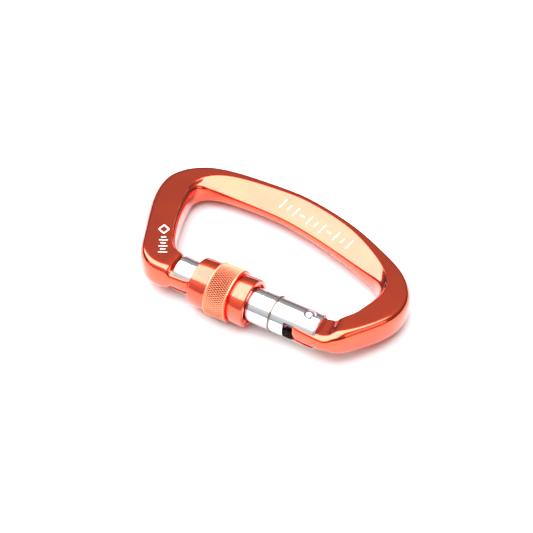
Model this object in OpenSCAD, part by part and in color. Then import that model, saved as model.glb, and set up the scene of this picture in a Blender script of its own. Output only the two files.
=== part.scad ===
// Screw-lock carabiner: forged frame, tubular gate, knurled locking sleeve.
// X runs along the gate from nose to hinge, Y points from the gate to the spine,
// and the frame's forging plane is z = 0. Millimetres.

/* [Gate] */
// Outer radius of the gate tube
tube_r = 6; // [5.9:0.05:6]
// Length of the gate tube
tube_len = 54.2; // [54:0.1:54.4]
// Half width of the slots that take the frame's two tongues
slot_half = 3; // [2.95:0.05:3.1]
// Distance from the nose end of the tube to the hinge rivet
pivot_x = 49.7; // [49.6:0.05:49.8]
// Radius of the hinge rivet's shank
rivet_r = 1.5; // [1.3:0.1:1.6]
// Radius of the rivet's domed heads
rivet_head_r = 1.9; // [1.8:0.1:2]
// How far the rivet's heads stand above the tube
rivet_proud = 0.9; // [0.6:0.1:1]
// Radius of the latch pin across the nose slot
latch_r = 1.2; // [1:0.05:1.2]

/* [Locking sleeve] */
// Distance from the nose end of the tube to the sleeve
sleeve_x = 7.9; // [7.8:0.1:8.2]
// Overall length of the sleeve
sleeve_len = 21; // [20.8:0.1:21.2]
// Radius of the sleeve's smooth bands
band_r = 8.45; // [8.2:0.05:8.6]
// Radius of the sleeve's knurled grip
grip_r = 9.2; // [8.9:0.05:9.4]
// Depth of the knurl's grooves
knurl_depth = 0.3; // [0.2:0.05:0.35]
// Number of straight grooves round the grip
knurl_count = 40; // [24:4:48]

/* [Plunger and spring] */
// Radius of the plunger that closes the gate
plunger_r = 1.9; // [1.7:0.1:2]
// Radius of the return spring's wire
spring_wire = 0.25; // [0.2:0.05:0.3]
// Number of turns in the return spring
spring_turns = 9; // [6:1:10]

/* [Frame] */
// Half thickness of the frame's two tongues
tongue_half = 2.85; // [2.7:0.05:2.85]
// Rings between two stations along the frame
ring_steps = 3; // [2:1:4]

/* [Hidden] */
$fn = 64;
fit = 0.05;
latch_x = 4.4;
nose_tip = 6.8;
cam_reach = 4.4;
slot_len = 9.6;
slot_floor = 2.8;
hinge_slot_x = 43;
bore_r = plunger_r + 0.1;
spring_x = 26;
spring_end = 37;
plunger_end = 45.1;
thread_r = 5.55;
thread_pitch = 1.5;
ring_x = 37.6;
ring_wire = 0.4;
head_seat = 5.3;
anodised = [0.82, 0.27, 0.14];
polished = [0.86, 0.87, 0.89];
steel = [0.62, 0.63, 0.65];

// Stations along the frame, from the nose round the spine to the hinge:
// [inner edge x, y, outer edge x, y, inner half thickness, crest, top half thickness, shoulder].
// Crest and shoulder are shares of the way from the inner edge to the outer one.
stations = [
    [-0.6,   5.2,  -0.6, -5.2, 2.8, 0.20, 2.9, 0.80],
    [-2.4,   5.5,  -3.8, -6.4, 3.4, 0.20, 4.0, 0.80],
    [-4.6,   6.2,  -9.0, -6.2, 4.0, 0.15, 4.8, 0.80],
    [-6.8,   8.6, -15.0, -2.0, 4.3, 0.15, 4.9, 0.80],
    [-9.3,  12.8, -19.8,  7.8, 4.4, 0.15, 4.9, 0.82],
    [-13.4, 22.2, -24.8, 18.0, 4.4, 0.15, 4.9, 0.84],
    [-15.7, 30.2, -28.1, 27.0, 4.4, 0.15, 4.9, 0.86],
    [-16.8, 35.6, -29.1, 36.0, 4.2, 0.16, 4.9, 0.88],
    [-15.2, 38.7, -25.8, 43.5, 3.5, 0.30, 4.9, 0.90],
    [-11.4, 40.3, -18.8, 49.5, 2.7, 0.52, 4.8, 0.90],
    [-5.0,  41.1,  -8.0, 52.6, 2.1, 0.68, 4.6, 0.91],
    [9.0,   41.5,   9.0, 54.0, 1.8, 0.75, 4.5, 0.92],
    [19.6,  40.7,  21.0, 53.8, 1.8, 0.78, 4.5, 0.92],
    [34.8,  37.4,  39.6, 49.6, 1.9, 0.77, 4.5, 0.92],
    [49.0,  33.0,  54.0, 43.2, 2.3, 0.62, 4.6, 0.91],
    [58.6,  29.4,  65.6, 36.8, 3.1, 0.34, 4.8, 0.88],
    [62.3,  24.4,  72.8, 28.0, 3.9, 0.18, 4.9, 0.84],
    [61.9,  19.6,  73.8, 18.6, 4.2, 0.15, 4.9, 0.78],
    [60.3,  15.4,  71.0, 11.2, 4.2, 0.15, 4.9, 0.74],
    [58.0,  10.6,  66.4,  4.0, 4.0, 0.15, 4.8, 0.72],
    [56.9,   7.6,  61.8, -2.4, 3.5, 0.18, 4.1, 0.75],
    [55.6,   5.6,  56.6, -5.4, 2.8, 0.20, 2.9, 0.80]
];
last = len(stations) - 1;

// Catmull-Rom curve through the stations, with straight run-outs at both ends
function at(i) =
    i < 0 ? 2 * stations[0] - stations[1]
    : i > last ? 2 * stations[last] - stations[last - 1] : stations[i];
function between(i, t) =
    let (a = at(i - 1), b = at(i), c = at(i + 1), d = at(i + 2))
    0.5 * (2 * b + (c - a) * t + (2 * a - 5 * b + 4 * c - d) * t * t
           + (3 * b - a - 3 * c + d) * t * t * t);
path = [
    for (i = [0 : last - 1]) for (s = [0 : ring_steps - 1]) between(i, s / ring_steps),
    stations[last]
];

// Upper half of a section, from the inner edge to the outer edge: [share across, height].
// A rounded inner edge, a hollowed face up to the crest, a flat top and a rounded shoulder.
function upper(s) =
    let (inner = s[4], crest = s[5], top = s[6], shoulder = s[7], rise = top - inner)
    [
        [0, 0.4 * inner], [0.03, 0.8 * inner], [0.1, inner],
        [0.1 + 0.5 * (crest - 0.1), inner + 0.42 * rise],
        [crest, top], [shoulder, top - 0.05],
        [1 - 0.3 * (1 - shoulder), 0.8 * top], [1, 0.4 * top]
    ];
function ring_of(s) =
    let (u = upper(s), m = len(u), outer = [s[2], s[3]], inner = [s[0], s[1]])
    [for (k = [0 : 2 * m - 1])
        let (q = k < m ? u[k] : u[2 * m - 1 - k], side = k < m ? 1 : -1,
             p = inner + (outer - inner) * q[0])
        [p[0], p[1], side * q[1]]];
rings = [for (s = path) ring_of(s)];
points = [for (r = rings) each r];
across = len(rings[0]);
rows = len(rings);

origin_x = (min([for (p = points) p[0]]) + max([for (p = points) p[0]])) / 2;
origin_y = (max([for (p = points) p[1]]) - grip_r) / 2;

module placed() {
    translate([-origin_x, -origin_y, 0]) children();
}

module rod(x0, x1, r) {
    translate([x0, 0, 0]) rotate([0, 90, 0]) cylinder(h = x1 - x0, r = r);
}

// A plate lying in the forging plane, as thick as the tongues
module plate() {
    translate([0, 0, -tongue_half]) linear_extrude(2 * tongue_half) children();
}

module bar() {
    polyhedron(
        points = points,
        faces = concat(
            [for (i = [0 : rows - 2]) for (k = [0 : across - 1])
                let (a = i * across + k, b = i * across + (k + 1) % across)
                each [[a, b, a + across], [b, b + across, a + across]]],
            [[for (k = [across - 1 : -1 : 0]) k]],
            [[for (k = [0 : across - 1]) (rows - 1) * across + k]]
        )
    );
}

// Tongue in the tube's nose slot, with the hook that the latch pin drops into
module nose_tongue() {
    notch = latch_r + 0.25;
    intersection() {
        plate() difference() {
            polygon([
                [-2, -5.2], [nose_tip - 1.4, -5.2], [nose_tip, -3.4], [nose_tip, 1.6],
                [nose_tip - 0.6, 2.2], [-2, 2.2]
            ]);
            translate([latch_x, 0]) circle(r = notch);
            translate([latch_x - notch, 0]) square([2 * notch, 3]);
        }
        rod(-4, 12, tube_r - 0.12);
    }
}

// Tongue in the tube's hinge slot, bored for the rivet; its blunt end works the plunger
module hinge_tongue() {
    translate([pivot_x, 0, 0]) plate() polygon([
        [-cam_reach, -2.4], [-cam_reach, 3], [-3.2, 4.4], [8, 4.6],
        [8, -5.2], [-1.6, -5.2], [-3.5, -4.2]
    ]);
}

module frame() {
    color(anodised) placed() difference() {
        union() {
            difference() {
                bar();
                // room for the tube's end as it swings
                for (side = [-1, 1]) translate([pivot_x, 0, side * (tongue_half + 3)])
                    cylinder(h = 6, r = 7.3, center = true);
            }
            nose_tongue();
            hinge_tongue();
        }
        translate([pivot_x, 0, -8]) cylinder(h = 16, r = rivet_r + fit);
    }
}

module gate_tube() {
    corner = 0.8;
    color(polished) placed() difference() {
        rotate([0, 90, 0]) rotate_extrude() union() {
            square([tube_r - corner, tube_len]);
            translate([0, corner]) square([tube_r, tube_len - 2 * corner]);
            for (z = [corner, tube_len - corner]) translate([tube_r - corner, z])
                circle(r = corner);
        }
        // slot for the frame's nose, open to the outer side
        translate([-1, -tube_r - 1, -slot_half])
            cube([slot_len + 1, tube_r + 1 + slot_floor, 2 * slot_half]);
        // slot for the hinge tongue
        translate([hinge_slot_x, -tube_r - 1, -slot_half])
            cube([tube_len, 2 * tube_r + 2, 2 * slot_half]);
        // bore for the spring and plunger
        rod(spring_x, hinge_slot_x + 1, bore_r);
        // thread under the sleeve
        for (x = [slot_len + 1 : thread_pitch : 27]) thread_groove(x);
        rotate([0, 90, 0]) translate([0, 0, ring_x]) rotate_extrude()
            translate([tube_r, 0]) circle(r = ring_wire, $fn = 24);
        // seats and holes for the rivet and the latch pin
        translate([pivot_x, 0, -8]) cylinder(h = 16, r = rivet_r);
        for (side = [-1, 1]) translate([pivot_x, 0, side * (head_seat + 2)])
            cylinder(h = 4, r = rivet_head_r + 0.2, center = true);
        translate([latch_x, 0, -8]) cylinder(h = 16, r = latch_r);
    }
}

module thread_groove(x) {
    translate([x, 0, 0]) rotate([0, 90, 0]) rotate_extrude()
        polygon([[thread_r, 0], [tube_r + 0.1, -0.45], [tube_r + 0.1, 0.45]]);
}

module lock_sleeve() {
    band = 6.3;
    right = 5.2;
    grip_end = sleeve_len - right - 0.7;
    color(anodised) placed() translate([sleeve_x, 0, 0]) rotate([0, 90, 0]) difference() {
        rotate_extrude() polygon([
            [tube_r + 0.8, 0], [band_r - 0.5, 0], [band_r, 0.5], [band_r, band],
            [grip_r - 0.4, band + 0.1], [grip_r, band + 0.5],
            [grip_r, grip_end - 0.4], [grip_r - 0.4, grip_end],
            [band_r - 0.5, grip_end], [band_r - 0.5, grip_end + 0.7],
            [band_r, grip_end + 0.7], [band_r, sleeve_len - 0.5], [band_r - 0.5, sleeve_len],
            [tube_r + 0.8, sleeve_len], [tube_r + 0.8, sleeve_len - 1.2],
            [tube_r + fit, sleeve_len - 1.2], [tube_r + fit, 1.2], [tube_r + 0.8, 1.2]
        ]);
        for (k = [0 : knurl_count - 1]) rotate([0, 0, 360 * k / knurl_count])
            translate([grip_r, 0, band + 0.9]) rotate([0, 0, 45])
            translate([-knurl_depth, -knurl_depth, 0])
            cube([2 * knurl_depth, 2 * knurl_depth, grip_end - band - 1.7]);
    }
}

module stop_ring() {
    color(steel) placed() translate([ring_x, 0, 0]) rotate([0, 90, 0]) rotate_extrude()
        translate([tube_r, 0]) circle(r = ring_wire, $fn = 24);
}

module hinge_rivet() {
    dome_base = tube_r - 0.25;
    rise = tube_r + rivet_proud - dome_base;
    dome_r = (pow(rivet_head_r, 2) + pow(rise, 2)) / (2 * rise);
    color(steel) placed() translate([pivot_x, 0, 0]) {
        cylinder(h = 2 * head_seat, r = rivet_r, center = true);
        for (side = [0, 180]) rotate([side, 0, 0]) intersection() {
            translate([0, 0, head_seat]) cylinder(h = 3, r = rivet_head_r);
            translate([0, 0, dome_base + rise - dome_r]) sphere(r = dome_r);
        }
    }
}

module latch_pin() {
    color(steel) placed() intersection() {
        translate([latch_x, 0, 0]) cylinder(h = 3 * tube_r, r = latch_r, center = true);
        rod(0, 2 * latch_x, tube_r);
    }
}

module plunger() {
    color(steel) placed() {
        rod(spring_end, plunger_end - 0.4, plunger_r);
        rod(plunger_end - 0.5, plunger_end, plunger_r - 0.4);
    }
}

// Wire wound round the bore's axis, one short bead of it per step
module return_spring() {
    coil_r = plunger_r - spring_wire - 0.05;
    steps = 20 * spring_turns;
    run = spring_end - spring_x - 2 * spring_wire - 0.1;
    sides = 6;
    rows = [for (i = [0 : steps]) let (a = 360 * spring_turns * i / steps)
        [for (k = [0 : sides - 1]) let (b = 360 * k / sides, r = coil_r + spring_wire * cos(b))
            [spring_x + spring_wire + 0.05 + run * i / steps + spring_wire * sin(b),
             r * cos(a), r * sin(a)]]];
    color(steel) placed() polyhedron(
        points = [for (r = rows) each r],
        faces = concat(
            [for (i = [0 : steps - 1]) for (k = [0 : sides - 1])
                let (a = i * sides + k, b = i * sides + (k + 1) % sides)
                each [[a, b, a + sides], [b, b + sides, a + sides]]],
            [[for (k = [sides - 1 : -1 : 0]) k]],
            [[for (k = [0 : sides - 1]) steps * sides + k]]
        )
    );
}

frame();
gate_tube();
lock_sleeve();
stop_ring();
hinge_rivet();
latch_pin();
plunger();
return_spring();
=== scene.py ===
import bpy
import bmesh
import math
from mathutils import Matrix, Vector
from mathutils.bvhtree import BVHTree


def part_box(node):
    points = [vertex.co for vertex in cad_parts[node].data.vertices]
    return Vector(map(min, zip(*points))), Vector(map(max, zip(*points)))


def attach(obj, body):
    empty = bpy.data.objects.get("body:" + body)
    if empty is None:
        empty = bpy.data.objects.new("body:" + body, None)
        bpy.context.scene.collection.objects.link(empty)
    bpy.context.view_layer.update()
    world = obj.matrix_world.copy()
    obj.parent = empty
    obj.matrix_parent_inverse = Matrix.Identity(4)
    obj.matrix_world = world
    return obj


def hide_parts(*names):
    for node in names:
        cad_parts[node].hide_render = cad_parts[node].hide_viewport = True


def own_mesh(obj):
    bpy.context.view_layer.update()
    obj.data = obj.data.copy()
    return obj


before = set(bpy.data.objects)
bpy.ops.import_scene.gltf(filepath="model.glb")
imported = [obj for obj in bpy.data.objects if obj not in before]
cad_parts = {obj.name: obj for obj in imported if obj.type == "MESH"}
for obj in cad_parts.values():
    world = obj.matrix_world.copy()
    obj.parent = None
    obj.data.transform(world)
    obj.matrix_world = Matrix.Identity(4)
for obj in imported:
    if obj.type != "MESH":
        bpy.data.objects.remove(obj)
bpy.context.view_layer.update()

mm = 0.001
down = Vector((0, 0, -1))

# places are measured from the gate's axis, which the CAD frame gives
tubeLow, tubeHigh = (Vector(c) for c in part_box("gate_tube"))
origin = Vector((tubeLow.x, (tubeLow.y + tubeHigh.y) / 2, 0))  # nose end of the gate's axis


def gatePoint(x, y, z=0.0):
    # a place in millimetres from the nose end of the gate's axis
    return origin + Vector((x, y, z)) * mm


def linear(hexColour):
    # sRGB hex to the linear colour that a shader takes
    parts = [int(hexColour[i:i + 2], 16) / 255 for i in (1, 3, 5)]
    light = [c / 12.92 if c <= 0.04045 else ((c + 0.055) / 1.055) ** 2.4 for c in parts]
    return (*light, 1.0)


def addNode(tree, kind, settings=None, links=None):
    # one node with its properties, its socket values and the sockets that feed it
    node = tree.nodes.new(kind)
    for name, value in (settings or {}).items():
        if isinstance(name, str) and hasattr(node, name) and name not in node.inputs:
            setattr(node, name, value)
        else:
            node.inputs[name].default_value = value
    for name, source in (links or {}).items():
        tree.links.new(source, node.inputs[name])
    return node


def setRamp(node, *stops):
    # the places and colours of a colour ramp's two ends
    for element, (place, colour) in zip(node.color_ramp.elements, stops):
        element.position = place
        element.color = colour


def newMaterial(name):
    material = bpy.data.materials.new(name)
    material.use_nodes = True
    tree = material.node_tree
    tree.nodes.clear()
    return material, tree


def finishMaterial(tree, shader):
    out = addNode(tree, "ShaderNodeOutputMaterial")
    tree.links.new(shader.outputs[0], out.inputs["Surface"])


anodised = {
    "colour": "#FF4E1A",       # dyed oxide over bright-dipped aluminium
    "deepColour": "#F84614",
    "roughness": 0.13,
    "coatRoughness": 0.08,     # the sealed oxide on top of the dye
    "coatIor": 1.62,
    "grainSize": 0.35,         # mm, orange-peel left by tumbling before the dye, drawn coarse
    "grainDepth": 0.004,       # mm
    "blotchSize": 14.0,        # mm, slow change of the dye's depth
}


def makeAnodised(name, values):
    # anodised aluminium, tumbled then dyed: a coloured mirror under a thin clear oxide
    material, tree = newMaterial(name)
    coords = addNode(tree, "ShaderNodeTexCoord")
    blotch = addNode(tree, "ShaderNodeTexNoise",
                     {"Scale": 1 / (values["blotchSize"] * mm), "Detail": 2.0},
                     {"Vector": coords.outputs["Object"]})
    colours = addNode(tree, "ShaderNodeValToRGB", None, {"Fac": blotch.outputs["Fac"]})
    setRamp(colours, (0.35, linear(values["deepColour"])), (0.65, linear(values["colour"])))
    grain = addNode(tree, "ShaderNodeTexNoise",
                    {"Scale": 1 / (values["grainSize"] * mm), "Detail": 1.0},
                    {"Vector": coords.outputs["Object"]})
    rough = addNode(tree, "ShaderNodeMapRange",
                    {"To Min": values["roughness"] * 0.9, "To Max": values["roughness"] * 1.15},
                    {"Value": blotch.outputs["Fac"]})
    bump = addNode(tree, "ShaderNodeBump",
                   {"Strength": 0.25, "Distance": values["grainDepth"] * mm},
                   {"Height": grain.outputs["Fac"]})
    shader = addNode(tree, "ShaderNodeBsdfPrincipled",
                     {"Metallic": 1.0, "Coat Weight": 1.0, "Coat IOR": values["coatIor"],
                      "Coat Roughness": values["coatRoughness"]},
                     {"Base Color": colours.outputs["Color"], "Roughness": rough.outputs["Result"],
                      "Normal": bump.outputs["Normal"]})
    finishMaterial(tree, shader)
    return material


polished = {
    "colour": "#E6E8EB",
    "roughness": 0.12,
    "lineSize": 0.12,          # mm, polishing lines round the tube, coarser than real to show
    "lineDepth": 0.002,        # mm
}


def makePolished(name, values):
    # polished aluminium tube: a bright mirror with faint lines round it from the polishing belt
    material, tree = newMaterial(name)
    coords = addNode(tree, "ShaderNodeTexCoord")
    stretch = addNode(tree, "ShaderNodeMapping", {"Scale": (1.0, 0.03, 0.03)},
                      {"Vector": coords.outputs["Object"]})
    lines = addNode(tree, "ShaderNodeTexNoise",
                    {"Scale": 1 / (values["lineSize"] * mm), "Detail": 3.0},
                    {"Vector": stretch.outputs["Vector"]})
    rough = addNode(tree, "ShaderNodeMapRange",
                    {"To Min": values["roughness"] * 0.7, "To Max": values["roughness"] * 1.5},
                    {"Value": lines.outputs["Fac"]})
    bump = addNode(tree, "ShaderNodeBump",
                   {"Strength": 0.3, "Distance": values["lineDepth"] * mm},
                   {"Height": lines.outputs["Fac"]})
    shader = addNode(tree, "ShaderNodeBsdfPrincipled",
                     {"Metallic": 1.0, "Base Color": linear(values["colour"])},
                     {"Roughness": rough.outputs["Result"], "Normal": bump.outputs["Normal"]})
    finishMaterial(tree, shader)
    return material


knurled = {
    "crest": "#F09A72",        # painted highlight: the ridges' tops are drawn paler, as if lit
    "pit": "#7C1E0A",          # painted shade: the pits are drawn dark, as if shaded
    "roughness": 0.36,
    "crestRadius": 9.18,       # mm from the gate's axis
    "pitRadius": 8.9,
}


def makeKnurledPaintedShade(name, values):
    # anodised aluminium with rolled knurling: a matt bronze-like grain, with painted shade in its
    # pits and a painted highlight on its ridges
    material, tree = newMaterial(name)
    coords = addNode(tree, "ShaderNodeTexCoord")
    shift = addNode(tree, "ShaderNodeVectorMath", {"operation": "SUBTRACT"},
                    {0: coords.outputs["Object"]})
    shift.inputs[1].default_value = origin
    across = addNode(tree, "ShaderNodeVectorMath", {"operation": "MULTIPLY"},
                     {0: shift.outputs["Vector"]})
    across.inputs[1].default_value = (0, 1, 1)
    radius = addNode(tree, "ShaderNodeVectorMath", {"operation": "LENGTH"},
                     {0: across.outputs["Vector"]})
    # the distance from the gate's axis sets the painted shade in the pits and the painted
    # highlight on the ridges
    depth = addNode(tree, "ShaderNodeMapRange",
                    {"From Min": values["pitRadius"] * mm, "From Max": values["crestRadius"] * mm},
                    {"Value": radius.outputs["Value"]})
    colours = addNode(tree, "ShaderNodeValToRGB", None, {"Fac": depth.outputs["Result"]})
    setRamp(colours, (0.0, linear(values["pit"])), (1.0, linear(values["crest"])))
    shader = addNode(tree, "ShaderNodeBsdfPrincipled",
                     {"Metallic": 1.0, "Roughness": values["roughness"]},
                     {"Base Color": colours.outputs["Color"]})
    finishMaterial(tree, shader)
    return material


print("materials: making")
frameOrange = makeAnodised("anodisedAluminiumFrame", anodised)
sleeveOrange = makeAnodised("anodisedAluminiumSleeve", dict(
    anodised, grainDepth=0.0015, colour="#FF4E20", deepColour="#FA461A", roughness=0.22))
# the grip's material paints shade into the knurl's pits and a highlight onto its ridges
gripPaintedShade = makeKnurledPaintedShade("knurledAluminiumPaintedShade", knurled)
tubeSilver = makePolished("polishedAluminium", polished)
# nearly black steel for the plunger: painted shade, dark so that the inside of the tube's slot
# reads as shaded
plungerPaintedShade = makePolished("paintedShadeSteel", dict(polished, colour="#3A3430", roughness=0.35))
# drawn spring steel wire: grey and half bright
springSteel = makePolished("springSteel", dict(polished, colour="#8E9298", roughness=0.3))
# tempered spring steel: a little brown from its heat treatment
ringSteel = makePolished("springSteelRing", dict(polished, colour="#8A7B70", roughness=0.3))
# etched by laser through the dye: pale matt oxide, which shines in no direction
engraved, engravedTree = newMaterial("laserEtchedAluminium")
finishMaterial(engravedTree, addNode(engravedTree, "ShaderNodeBsdfPrincipled", {
    "Base Color": linear("#FBEDE2"), "Roughness": 0.7}))


def giveMaterial(obj, material):
    if not obj.material_slots:
        obj.data.materials.append(material)
    for slot in obj.material_slots:
        slot.material = material


nodeMaterials = {
    "gate_tube": tubeSilver, "lock_sleeve": sleeveOrange, "stop_ring": ringSteel,
    # the plunger's nearly black colour is painted shade for the inside of the slot
    "hinge_rivet": tubeSilver, "latch_pin": tubeSilver, "plunger": plungerPaintedShade,
    "return_spring": springSteel,
}
for nodeName, material in nodeMaterials.items():
    giveMaterial(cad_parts[nodeName], material)


def meshObject(name, bm, material, body):
    mesh = bpy.data.meshes.new(name)
    bm.normal_update()
    bm.to_mesh(mesh)
    bm.free()
    for face in mesh.polygons:
        face.use_smooth = True
    obj = bpy.data.objects.new(name, mesh)
    bpy.context.scene.collection.objects.link(obj)
    mesh.materials.append(material)
    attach(obj, body)
    return obj


def arcPoints(x, r, radius, fromDegrees, toDegrees, steps=4):
    # an arc in a plane, in degrees from the first axis
    angles = [math.radians(fromDegrees + (toDegrees - fromDegrees) * k / steps)
              for k in range(steps + 1)]
    return [(x + radius * math.cos(a), r + radius * math.sin(a)) for a in angles]


def bridgeRings(bm, rings, closed=False, caps=True):
    # rows of points joined into a closed skin; each row is a loop
    rows = [[bm.verts.new(p) for p in ring] for ring in rings]
    count = len(rows[0])
    pairs = list(zip(rows, rows[1:])) + ([(rows[-1], rows[0])] if closed else [])
    for a, b in pairs:
        for k in range(count):
            n = (k + 1) % count
            bm.faces.new((a[k], b[k], b[n], a[n]))
    if caps and not closed:
        bm.faces.new(rows[0])
        bm.faces.new(list(reversed(rows[-1])))
    bmesh.ops.recalc_face_normals(bm, faces=bm.faces)
    return rows


bar = {
    "stepsPerStation": 2,
    "subdivisions": 3,
    "creases": {2: 0.4, 5: 0.6, 7: 0.3},     # how sharp the ridges along the bar are, by place
    "rivetBore": (49.7, 0.0, 1.55),          # mm, middle x and y, radius
    "hook": (4.4, 0.0, 1.45),
    "hookOpening": 4,                        # mm above the hook's middle
    "cutReach": 8,                           # mm either side of the forging plane
}

# inner edge x, y, outer edge x, y, inner half thickness, crest, top half thickness, shoulder;
# crest and shoulder are shares of the way from the inner edge to the outer one
barStations = [
    (6.6, 1.9, 6.6, -4.4, 2.6, 0.15, 2.80, 0.85),
    (6.2, 2.2, 6.2, -5.6, 2.7, 0.15, 2.85, 0.86),
    (2.6, 2.3, 2.6, -5.9, 2.7, 0.15, 2.85, 0.84),
    (-0.2, 3.8, -0.3, -6.0, 2.7, 0.15, 2.85, 0.84),
    (-1.0, 4.9, -1.1, -6.1, 3.2, 0.16, 3.5, 0.82),
    (-1.8, 5.4, -2.4, -6.2, 4.2, 0.15, 4.75, 0.86),
    (-4.2, 6.2, -8.6, -6.3, 4.3, 0.15, 4.85, 0.88),
    (-6.8, 8.6, -15.0, -1.9, 4.3, 0.15, 4.9, 0.88),
    (-9.3, 12.8, -19.7, 7.7, 4.4, 0.15, 4.9, 0.87),
    (-13.4, 22.2, -24.7, 18.0, 4.4, 0.15, 4.9, 0.84),
    (-15.7, 30.2, -28.0, 27.0, 4.4, 0.15, 4.9, 0.86),
    (-16.8, 35.6, -29.0, 36.0, 4.2, 0.16, 4.9, 0.88),
    (-15.2, 38.7, -25.7, 43.4, 3.6, 0.26, 4.9, 0.90),
    (-11.4, 40.3, -18.8, 49.4, 2.8, 0.48, 4.8, 0.90),
    (-5.0, 41.1, -8.0, 52.5, 2.1, 0.67, 4.6, 0.91),
    (9.0, 41.5, 9.0, 53.9, 1.8, 0.75, 4.5, 0.92),
    (19.6, 40.7, 21.0, 53.7, 1.8, 0.78, 4.5, 0.92),
    (34.8, 37.4, 39.6, 49.5, 1.9, 0.77, 4.5, 0.92),
    (49.0, 33.0, 54.0, 43.1, 2.3, 0.62, 4.6, 0.91),
    (58.6, 29.4, 65.5, 36.7, 3.1, 0.34, 4.8, 0.88),
    (62.3, 24.4, 72.7, 28.0, 3.9, 0.18, 4.9, 0.84),
    (62.2, 19.4, 73.9, 18.4, 4.2, 0.15, 4.9, 0.86),
    (61.3, 15.6, 71.3, 10.6, 4.2, 0.15, 4.9, 0.87),
    (60.4, 11.2, 67.0, 3.6, 4.0, 0.15, 4.85, 0.86),
    (58.9, 8.4, 63.2, -2.0, 4.1, 0.15, 4.8, 0.80),
    (57.8, 6.9, 60.4, -4.0, 3.8, 0.16, 4.3, 0.78),
    (56.6, 6.1, 58.4, -5.2, 2.8, 0.18, 3.0, 0.80),
    (55.0, 5.5, 56.0, -5.8, 2.7, 0.15, 2.85, 0.85),
    (51.0, 4.4, 51.4, -5.7, 2.7, 0.15, 2.85, 0.88),
    (46.8, 4.2, 47.0, -5.4, 2.7, 0.15, 2.85, 0.88),
    (45.5, 3.0, 45.4, -4.2, 2.6, 0.15, 2.80, 0.85),
]


def stationAt(index):
    last = len(barStations) - 1
    if index < 0:
        return [2 * a - b for a, b in zip(barStations[0], barStations[1])]
    if index > last:
        return [2 * a - b for a, b in zip(barStations[last], barStations[last - 1])]
    return barStations[index]


def betweenStations(index, t):
    # Catmull-Rom curve through the stations
    a, b, c, d = (stationAt(index + k) for k in (-1, 0, 1, 2))
    return [0.5 * (2 * q + (r - p) * t + (2 * p - 5 * q + 4 * r - s) * t * t
                   + (3 * q - p - 3 * r + s) * t ** 3) for p, q, r, s in zip(a, b, c, d)]


def sectionRing(values):
    # rounded inner edge, a hollowed face up to the crest, a flat top and a rounded shoulder
    ix, iy, ox, oy, inner, crest, top, shoulder = values
    rise = top - inner
    upper = [
        (0.0, 0.45 * inner), (0.03, 0.84 * inner), (0.09, inner),
        (0.09 + 0.5 * (crest - 0.09), inner + 0.40 * rise),
        (crest - 0.02, inner + 0.92 * rise), (crest, top),
        ((crest + shoulder) / 2, top), (shoulder, top - 0.03),
        (1 - 0.3 * (1 - shoulder), 0.78 * top), (1.0, 0.42 * top),
    ]
    loop = upper + [(share, -height) for share, height in reversed(upper)]
    return [gatePoint(ix + (ox - ix) * share, iy + (oy - iy) * share, height)
            for share, height in loop]


print("frame: sweeping the forged bar")
barPath = [betweenStations(i, s / bar["stepsPerStation"])
           for i in range(len(barStations) - 1) for s in range(bar["stepsPerStation"])]
barPath.append(list(barStations[-1]))
bm = bmesh.new()
barRows = bridgeRings(bm, [sectionRing(values) for values in barPath])
creaseLayer = bm.edges.layers.float.new("crease_edge")
for rowA, rowB in zip(barRows, barRows[1:]):
    for place, amount in bar["creases"].items():
        for side in (place, len(rowA) - 1 - place):        # upper and lower face
            bm.edges.get((rowA[side], rowB[side]))[creaseLayer] = amount
forgedBar = meshObject("forged_bar", bm, frameOrange, "frame")
smooth = forgedBar.modifiers.new("smooth", "SUBSURF")
smooth.levels = smooth.render_levels = bar["subdivisions"]


def cutHole(target, outline):
    # a milled hole straight through, its outline in mm from the nose end of the gate
    bm = bmesh.new()
    bridgeRings(bm, [[gatePoint(x, y, z) for x, y in outline]
                     for z in (-bar["cutReach"], bar["cutReach"])])
    mesh = bpy.data.meshes.new("cutter")
    bm.to_mesh(mesh)
    bm.free()
    cutter = bpy.data.objects.new("cutter", mesh)
    bpy.context.scene.collection.objects.link(cutter)
    hole = target.modifiers.new("hole", "BOOLEAN")
    hole.operation = "DIFFERENCE"
    hole.solver = "EXACT"
    hole.object = cutter
    cutMesh = bpy.data.meshes.new_from_object(
        target.evaluated_get(bpy.context.evaluated_depsgraph_get()))
    target.modifiers.clear()
    target.data = cutMesh
    bpy.data.objects.remove(cutter)


# the rivet's bore, and the hook that opens upwards for the latch pin
hookX, hookY, hookRadius = bar["hook"]
hookTop = hookY + bar["hookOpening"]
cutHole(forgedBar, arcPoints(*bar["rivetBore"], 0, 352.5, 47))
cutHole(forgedBar, [(hookX + hookRadius, hookTop), (hookX - hookRadius, hookTop)]
        + arcPoints(*bar["hook"], 180, 360, 24))
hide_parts("frame")


marks = {                      # all in mm
    "width": 0.48,             # one pass of the etching laser
    "height": 0.03,            # the etched oxide's raised crust
    "gap": 0.012,              # keeps the crust just clear of the bar
    "step": 0.5,               # between points that are laid on the surface
    "castFrom": 20,            # above the forging plane
    "dashHalf": 1.1,
    "shortTick": 0.6,          # share of a long tick
    "spineTicks": {"from": (12.6, 47.0), "to": (42.4, 40.3), "count": 11, "half": 2.0},
    "armTicks": {"from": (-7.3, 0.8), "to": (-11.2, 7.4), "count": 6, "half": 1.5},
    "diamondMiddle": (-13.3, 10.9),
    "diamondHalf": (2.2, 1.7),
}


def tickStrokes(values, dashEvery=0):
    # a row of ticks across its line, long and short by turns, with a dash at every few
    low, high = Vector(values["from"]), Vector(values["to"])
    along = (high - low).normalized()
    out = Vector((-along.y, along.x))
    strokes = []
    for k in range(values["count"]):
        middle = low.lerp(high, k / (values["count"] - 1))
        isDash = dashEvery and k % dashEvery == dashEvery - 1
        shorter = 1.0 if k % 2 == 0 else marks["shortTick"]
        reach = along * marks["dashHalf"] if isDash else out * values["half"] * shorter
        strokes.append((middle - reach, middle + reach))
    return strokes, along, out


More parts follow.
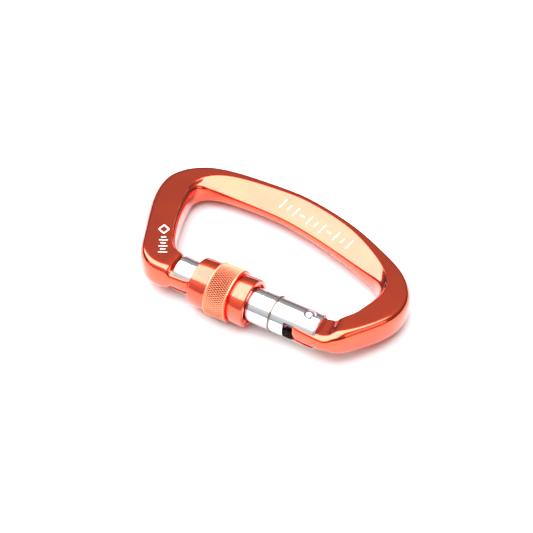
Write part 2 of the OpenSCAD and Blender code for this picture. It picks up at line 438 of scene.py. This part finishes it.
def markStrokes():
    # plain strokes from start to end: graduation ticks, dashes and a diamond, no letters
    spineStrokes = tickStrokes(marks["spineTicks"], dashEvery=4)[0]
    armStrokes, along, out = tickStrokes(marks["armTicks"])
    middle = Vector(marks["diamondMiddle"])
    long, wide = marks["diamondHalf"]
    corners = [middle + along * long, middle + out * wide,
               middle - along * long, middle - out * wide]
    return spineStrokes + armStrokes + [(corners[k], corners[(k + 1) % 4]) for k in range(4)]


def layStroke(bm, tree, start, end):
    # a narrow strip that follows the surface under it
    steps = max(2, math.ceil((end - start).length / marks["step"]))
    side = (end - start).orthogonal().normalized() * marks["width"] / 2
    rows = []
    for k in range(steps + 1):
        middle = start.lerp(end, k / steps)
        row = []
        for place in (middle - side, middle + side):
            above = gatePoint(place.x, place.y, marks["castFrom"])
            hit = tree.ray_cast(above, down)[0]
            row.append(bm.verts.new(hit - down * (marks["gap"] * mm)))
        rows.append(row)
    for a, b in zip(rows, rows[1:]):
        bm.faces.new((a[0], b[0], b[1], a[1]))


print("marks: etching")
bpy.context.view_layer.update()
surface = BVHTree.FromObject(forgedBar, bpy.context.evaluated_depsgraph_get())
bm = bmesh.new()
for start, end in markStrokes():
    layStroke(bm, surface, start, end)
etchedMarks = meshObject("etched_marks", bm, engraved, "frame")
crust = etchedMarks.modifiers.new("crust", "SOLIDIFY")
crust.thickness = marks["height"] * mm
crust.offset = 1


sleeve = {                     # lengths and radii in mm
    "start": 7.9,              # from the tube's nose end
    "length": 21.0,
    "bandRadius": 8.45,
    "gripRadius": 9.2,
    "boreRadius": 6.1,
    "mouthRadius": 6.85,       # the counterbore at each end
    "mouthDepth": 1.2,
    "gripStart": 6.35,         # from the sleeve's own end
    "gripEnd": 15.1,
    "grooveEnd": 15.8,         # the relief groove beside the grip
    "grooveDepth": 0.75,
    "diamondsRound": 72,       # a pit each 0.8 mm round the grip
    "diamondLength": 1.6,      # along the sleeve, two staggered rows of pits
    "knurlDepth": 0.5,
    "pitSteepness": 2.4,
    "crestWidth": 0.5,         # share of a pit's fall that the ridges' flat tops take
    "segments": 432,
    "gripSteps": 66,
    "cornerAngle": 50,         # degrees, corners sharper than this stay crisp
}


def flatPoints(points):
    # a turned profile's plain points, with no knurl on them
    return [(x, r, 0) for x, r in points]


def sleeveProfile(values):
    # (along, radius, share of the knurl) from the left bore mouth over the outside and back inside
    band, grip, bore = values["bandRadius"], values["gripRadius"], values["boreRadius"]
    mouth, mouthDepth = values["mouthRadius"], values["mouthDepth"]
    gripStart, gripEnd, length = values["gripStart"], values["gripEnd"], values["length"]
    groove, floor = values["grooveEnd"], band - values["grooveDepth"]
    points = flatPoints([(mouthDepth + 0.1, bore), (mouthDepth, mouth), (0.2, mouth), (0.0, 7.0)])
    points += flatPoints(arcPoints(0.45, band - 0.45, 0.45, 180, 90))
    points += flatPoints([(gripStart - 0.15, band), (gripStart, band - 0.12),
                          (gripStart + 0.05, band)])
    points += flatPoints(arcPoints(gripStart + 0.4, grip - 0.35, 0.35, 180, 90))
    first, end = gripStart + 0.5, gripEnd - 0.5
    for k in range(values["gripSteps"] + 1):
        t = k / values["gripSteps"]
        points.append((first + (end - first) * t, grip, min(1, 12 * t, 12 * (1 - t))))
    points += flatPoints(arcPoints(gripEnd - 0.4, grip - 0.35, 0.35, 90, 0))
    points += flatPoints([(gripEnd, floor + 0.15), (gripEnd + 0.06, floor),
                          (groove - 0.06, floor), (groove, floor + 0.15)])
    points += flatPoints(arcPoints(groove + 0.25, band - 0.25, 0.25, 180, 90))
    points += flatPoints(arcPoints(length - 0.5, band - 0.5, 0.5, 90, 0))
    points += flatPoints([(length, 7.0), (length - 0.2, mouth), (length - mouthDepth, mouth),
                          (length - mouthDepth - 0.1, bore)])
    return points


def triangleWave(t):
    return abs((t % 1.0) * 2 - 1)


def knurl(x, angle, values):
    # depth of the pits between two crossing sets of helical ridges, from 0 to 1
    turn = angle / (2 * math.pi) * values["diamondsRound"]
    along = x / values["diamondLength"]
    pit = min(triangleWave(turn + along), triangleWave(turn - along))
    return max(0, min(1, pit * values["pitSteepness"] - values["crestWidth"]))


print("sleeve: turning and knurling")
bm = bmesh.new()
sleeveRings = []
for x, r, share in sleeveProfile(sleeve):
    ring = []
    for k in range(sleeve["segments"]):
        angle = 2 * math.pi * k / sleeve["segments"]
        radius = r - share * sleeve["knurlDepth"] * knurl(x, angle, sleeve) if share else r
        ring.append(gatePoint(sleeve["start"] + x, radius * math.cos(angle),
                              radius * math.sin(angle)))
    sleeveRings.append(ring)
bridgeRings(bm, sleeveRings, closed=True)
knurledSleeve = meshObject("knurled_sleeve", bm, sleeveOrange, "sleeve")
knurledSleeve.data.materials.append(gripPaintedShade)
gripFrom = gatePoint(sleeve["start"] + sleeve["gripStart"] + 0.4, 0).x
gripTo = gatePoint(sleeve["start"] + sleeve["gripEnd"] - 0.4, 0).x
for face in knurledSleeve.data.polygons:
    fromAxis = Vector((face.center.y - origin.y, face.center.z)).length
    isOutside = fromAxis > sleeve["mouthRadius"] * mm
    if gripFrom < face.center.x < gripTo and isOutside:
        face.material_index = 1        # the knurled finish, with its painted shade and painted highlight
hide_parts("lock_sleeve")
sharp = knurledSleeve.modifiers.new("crispCorners", "EDGE_SPLIT")
sharp.split_angle = math.radians(sleeve["cornerAngle"])


spring = {
    "start": 26.05,            # mm from the tube's nose end, in the gate's bore
    "end": 36.93,
    "coilRadius": 1.6,
    "wireRadius": 0.25,
    "turns": 9,
    "stepsPerTurn": 36,
    "sides": 12,
    "travel": 1.2,             # mm, the plunger's stroke, which the spring gives up
}


def windSpring(values):
    # rings round the wire, one after another along its turns; the end turns are closed up
    wire, turns = values["wireRadius"], values["turns"]
    run = values["end"] - values["start"] - 2 * wire
    closed = 2 * wire
    openPitch = (run - 2 * closed) / (turns - 2)
    rings = []
    for step in range(turns * values["stepsPerTurn"] + 1):
        turn = step / values["stepsPerTurn"]
        along = values["start"] + wire + (min(turn, 1) + max(turn - turns + 1, 0)) * closed
        along += min(max(turn - 1, 0), turns - 2) * openPitch
        around = 2 * math.pi * turn
        ring = []
        for k in range(values["sides"]):
            b = 2 * math.pi * k / values["sides"]
            radius = values["coilRadius"] + wire * math.cos(b)
            ring.append(gatePoint(along + wire * math.sin(b), radius * math.cos(around),
                                  radius * math.sin(around)))
        rings.append(ring)
    return rings


print("spring: winding")
bm = bmesh.new()
bridgeRings(bm, windSpring(spring))
woundSpring = meshObject("wound_spring", bm, springSteel, "gate")
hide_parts("return_spring")
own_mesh(woundSpring)


studio = {
    "tilt": 4.6,               # degrees, the thick sleeve lifts the gate side off the table
    "lift": 0.1,               # mm, between the sleeve and the table
    "lens": 125.1,             # mm
    "azimuth": 28.7,
    "elevation": 41.44,
    "roll": 2.93,
    "distance": 622.6,         # mm
    "aim": (22.9, 18.3),       # mm, from the nose end of the gate
    "tableHalf": 3.0,          # m
    "tableColour": "#D4D1C6",
    "horizonStrength": 0.12,   # the room is darker towards the horizon than overhead
    "zenithStrength": 0.56,
    "horizonTint": (0.90, 0.98, 1.10, 1),
    "zenithTint": (1.04, 0.97, 0.86, 1),
    "softboxes": {             # place and size in m, radiance, the place it faces, colour
        "overheadBox": ((-0.75, -0.38, 1.25), (2.8, 2.14), 6.1,
                        (-0.75, -0.38, 0), (0.97, 0.96, 1.16)),
        "frontBox": ((-0.6, -1.4, 0.95), (2.8, 2.2), 0.5, (0, 0, 0), (1, 1, 1)),
        "sideBox": ((1.5, -0.2, 0.7), (0.9, 0.9), 1.2, (0, 0, 0), (1, 1, 1)),
    },
}


def viewAxes(azimuth, elevation, roll):
    # the camera's right, up and back directions
    az, el, ro = (math.radians(v) for v in (azimuth, elevation, roll))
    back = Vector((math.sin(az) * math.cos(el), -math.cos(az) * math.cos(el), math.sin(el)))
    right = Vector((0, 0, 1)).cross(back).normalized()
    up = back.cross(right)
    return (right * math.cos(ro) + up * math.sin(ro),
            up * math.cos(ro) - right * math.sin(ro), back)


right, up, back = viewAxes(studio["azimuth"], studio["elevation"], studio["roll"])
aim = gatePoint(*studio["aim"])
camera = bpy.data.objects.new("camera", bpy.data.cameras.new("camera"))
bpy.context.scene.collection.objects.link(camera)
bpy.context.scene.camera = camera
camera.data.lens = studio["lens"]
camera.data.sensor_width = 36
camera.data.clip_start = 0.01
camera.data.clip_end = 10
camera.matrix_world = Matrix.Translation(aim + back * studio["distance"] * mm) @ Matrix(
    (right, up, back)).transposed().to_4x4()

print("stage: floor and lights")
tilt = math.radians(studio["tilt"])
floorNormal = Vector((0, -math.sin(tilt), math.cos(tilt)))
floorBm = bmesh.new()
bmesh.ops.create_grid(floorBm, x_segments=2, y_segments=2, size=studio["tableHalf"])
floorMesh = bpy.data.meshes.new("table")
floorBm.to_mesh(floorMesh)
floorBm.free()
table = bpy.data.objects.new("table", floorMesh)
bpy.context.scene.collection.objects.link(table)
sleeveLow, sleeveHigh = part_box("lock_sleeve")
drop = (sleeveHigh[2] - sleeveLow[2]) / 2 + studio["lift"] * mm
table.matrix_world = Matrix.Translation(
    Vector((0, origin.y, 0)) - floorNormal * drop) @ Matrix.Rotation(tilt, 4, "X")
tableWhite, tableTree = newMaterial("paintedBoard")  # matt white painted board
finishMaterial(tableTree, addNode(tableTree, "ShaderNodeBsdfPrincipled", {
    "Base Color": linear(studio["tableColour"]), "Roughness": 0.6, "Specular IOR Level": 0.2}))
floorMesh.materials.append(tableWhite)

world = bpy.data.worlds.new("studio")  # a dim room, cool at the horizon and warm overhead
bpy.context.scene.world = world
world.use_nodes = True
worldTree = world.node_tree
direction = addNode(worldTree, "ShaderNodeTexCoord")
split = addNode(worldTree, "ShaderNodeSeparateXYZ", None,
                {"Vector": direction.outputs["Generated"]})
strength = addNode(worldTree, "ShaderNodeMapRange",
                   {"From Min": 0.15, "From Max": 0.85,
                    "To Min": studio["horizonStrength"], "To Max": studio["zenithStrength"]},
                   {"Value": split.outputs["Z"]})
tint = addNode(worldTree, "ShaderNodeValToRGB", None, {"Fac": split.outputs["Z"]})
setRamp(tint, (0.2, studio["horizonTint"]), (0.6, studio["zenithTint"]))
room = worldTree.nodes["Background"]
worldTree.links.new(tint.outputs["Color"], room.inputs["Color"])
worldTree.links.new(strength.outputs["Result"], room.inputs["Strength"])

for name, (place, size, radiance, target, colour) in studio["softboxes"].items():
    light = bpy.data.lights.new(name, "AREA")
    light.shape = "RECTANGLE"
    light.size, light.size_y = size
    light.energy = radiance * math.pi * size[0] * size[1]
    light.color = colour
    lamp = bpy.data.objects.new(name, light)
    lamp.location = place
    lamp.rotation_euler = (Vector(target) - Vector(place)).to_track_quat("-Z", "Y").to_euler()
    bpy.context.scene.collection.objects.link(lamp)
bpy.context.scene.view_settings.view_transform = "Standard"

print("scene: done")
